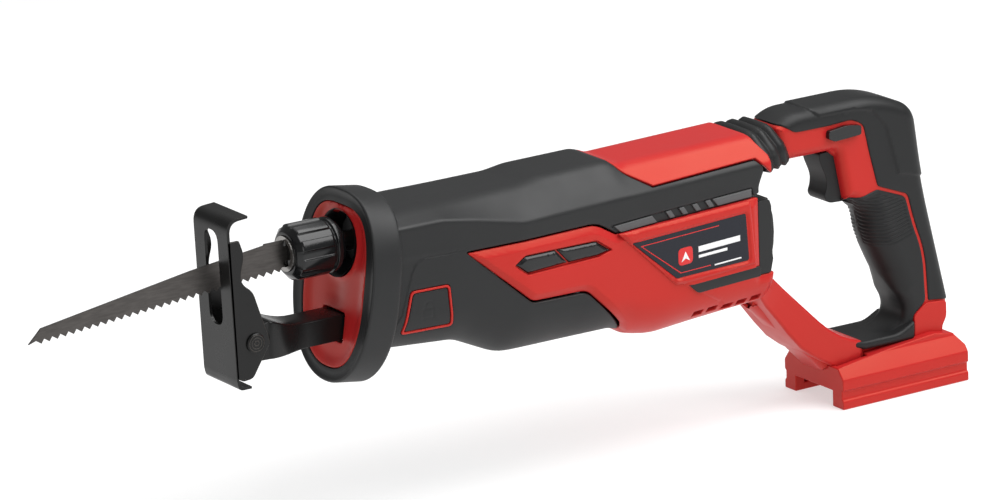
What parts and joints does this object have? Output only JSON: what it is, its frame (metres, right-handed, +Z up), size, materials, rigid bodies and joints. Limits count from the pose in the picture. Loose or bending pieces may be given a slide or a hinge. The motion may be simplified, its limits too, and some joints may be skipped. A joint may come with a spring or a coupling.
{
  "type": "reciprocating saw",
  "caption": "Cordless reciprocating saw with a D handle, twist blade clamp, pivoting shoe on an adjustable arm, and a slide-on battery foot without its battery.",
  "frame": {"origin": "on the floor plane of the battery foot underside, under the middle of the overall length and width", "axes": "+X from the blade tip to the handle along the stroke, +Z up, -Y the left side of the tool"},
  "size_m": [0.664, 0.091, 0.2056],
  "materials": {
    "red_plastic": "satin moulded plastic with a fine grain",
    "black_rubber": "soft-touch rubber",
    "black_plastic": "satin moulded plastic",
    "grey_plastic": "satin moulded plastic",
    "label": "gloss printed film",
    "black_steel": "black oxide and paint, semi-gloss",
    "blade_steel": "brushed bimetal strip",
    "bright_steel": "ground steel",
    "aluminium": "die cast",
    "bronze": "sintered bronze",
    "copper": "enamelled copper windings",
    "board": "solder mask"
  },
  "bodies": {
    "housing": {"housing_left": "red_plastic", "front_cover_left": "black_rubber", "vent_strip_left": "grey_plastic", "label_plate_left": "label", "lower_insert_left": "black_plastic", "side_insert_front_left": "black_plastic", "side_insert_rear_left": "black_plastic", "housing_right": "red_plastic", "front_cover_right": "black_rubber", "vent_strip_right": "grey_plastic", "label_plate_right": "label", "lower_insert_right": "black_plastic", "side_insert_front_right": "black_plastic", "side_insert_rear_right": "black_plastic", "top_cover": "red_plastic", "nose_flange": "black_rubber", "front_plate": "red_plastic", "rear_end_cap": "black_plastic", "bellows": "black_rubber", "handle_overmould": "black_rubber", "front_grip": "black_rubber", "shoe_lock_surround": "red_plastic", "shaft_seal": "black_rubber", "front_bush": "bronze", "rear_bush": "bronze", "arm_guide": "aluminium", "gear_case": "aluminium", "gear_bearing": "bright_steel", "front_motor_bearing": "bright_steel", "rear_motor_bearing": "bright_steel", "motor_can": "black_steel", "rear_bearing_holder": "black_plastic", "switch_body": "black_plastic", "control_board": "board", "battery_terminals": "black_plastic", "housing_screw_1": "black_steel", "housing_screw_2": "black_steel", "housing_screw_3": "black_steel", "housing_screw_4": "black_steel", "housing_screw_5": "black_steel", "housing_screw_6": "black_steel", "housing_screw_7": "black_steel"},
    "crank": {"drive_gear": "bright_steel", "gear_shaft": "bright_steel"},
    "rotor": {"pinion": "bright_steel", "motor_shaft": "bright_steel", "cooling_fan": "black_plastic", "armature": "copper"},
    "plunger": {"plunger_shaft": "bright_steel", "scotch_yoke": "bright_steel", "blade_holder": "black_steel", "saw_blade": "blade_steel", "clamp_ring": "bright_steel"},
    "sleeve": {"clamp_sleeve": "black_plastic"},
    "arm": {"shoe_arm": "black_steel", "shoe_pin": "black_steel"},
    "shoe": {"shoe_plate": "black_steel"},
    "shoe_lock": {"shoe_lock_button": "black_rubber"},
    "trigger": {"trigger": "black_plastic"},
    "lock_off": {"lock_off_slider": "black_plastic"}
  },
  "joints": [
    {"name": "crank_turn", "type": "hinge", "parent": "housing", "child": "crank", "pos_m": [-0.014, 0, 0.143], "axis": [0, 1, 0], "range_deg": [-90, 90]},
    {"name": "plunger_stroke", "type": "slide", "parent": "housing", "child": "plunger", "axis": [1, 0, 0], "range_m": [-0.014, 0.014]},
    {"name": "rotor_turn", "type": "hinge", "parent": "housing", "child": "rotor", "pos_m": [0.078, 0, 0.143], "axis": [1, 0, 0], "range_deg": [-381, 381]},
    {"name": "sleeve_twist", "type": "hinge", "parent": "plunger", "child": "sleeve", "pos_m": [-0.142, 0, 0.171], "axis": [1, 0, 0], "range_deg": [0, 70], "stiffness_Nm_per_rad": 0.3},
    {"name": "shoe_depth", "type": "slide", "parent": "housing", "child": "arm", "axis": [1, 0, 0], "range_m": [-0.02, 0.008]},
    {"name": "shoe_tilt", "type": "hinge", "parent": "arm", "child": "shoe", "pos_m": [-0.19, 0, 0.1266], "axis": [0, 1, 0], "range_deg": [-12, 25]},
    {"name": "shoe_lock_press", "type": "slide", "parent": "housing", "child": "shoe_lock", "axis": [0, 1, 0], "range_m": [0, 0.003], "stiffness_N_per_m": 600},
    {"name": "trigger_press", "type": "slide", "parent": "housing", "child": "trigger", "axis": [1, 0, 0], "range_m": [0, 0.0065], "stiffness_N_per_m": 900},
    {"name": "lock_off_slide", "type": "slide", "parent": "housing", "child": "lock_off", "axis": [0, 1, 0], "range_m": [-0.003, 0.003]}
  ],
  "couplings": [
    {"joint": "plunger_stroke", "follows": "crank_turn", "m_per_rad": 0.0089126},
    {"joint": "rotor_turn", "follows": "crank_turn", "ratio": -4.2222}
  ]
}
